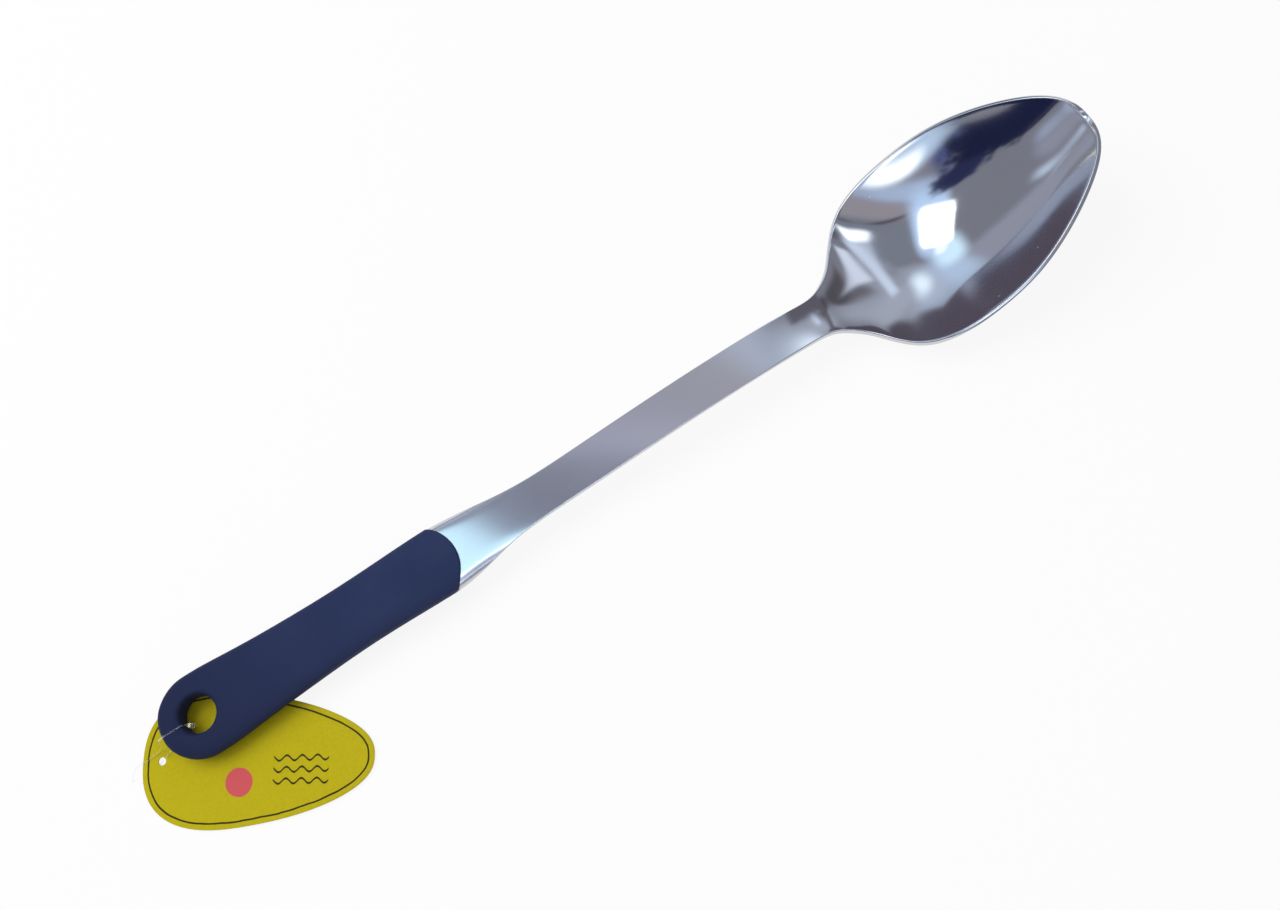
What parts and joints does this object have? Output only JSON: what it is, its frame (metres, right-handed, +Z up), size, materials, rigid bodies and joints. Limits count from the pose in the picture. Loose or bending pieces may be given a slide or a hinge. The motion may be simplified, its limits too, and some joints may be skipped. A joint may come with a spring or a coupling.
{
  "type": "cooking spoon",
  "caption": "Long stainless steel cooking spoon with a deep oval bowl, an arched shaft, a soft navy grip with a hanging hole, and a swing tag on a clear loop.",
  "frame": {"origin": "on the table, under the middle of the spoon's length, from the grip's round end to the bowl's tip", "axes": "+X from the grip towards the tip of the bowl, +Y to the left seen from the grip, +Z up, out of the open side of the bowl"},
  "size_m": [0.359, 0.0765, 0.0382],
  "materials": {
    "steel": "bowl polished bright, shaft satin",
    "grip_rubber": "smooth matte navy",
    "tag_card": "printed card, yellow with a black inset line",
    "clear_nylon": "clear moulded nylon"
  },
  "bodies": {
    "spoon": {"steel_spoon": "steel", "grip": "grip_rubber"},
    "loop": {"tag_loop": "clear_nylon", "loop_lock": "clear_nylon"},
    "tag": {"hang_tag": "tag_card"}
  },
  "joints": [
    {"name": "loop_swivel", "type": "hinge", "parent": "spoon", "child": "loop", "pos_m": [-0.15718, 0, 0.0061], "axis": [0, 0, 1], "range_deg": [-60, 60]},
    {"name": "tag_turn", "type": "hinge", "parent": "loop", "child": "tag", "pos_m": [-0.17658, -0.0045, 0.0009], "axis": [0, 0, 1], "range_deg": [-20, 20]}
  ]
}
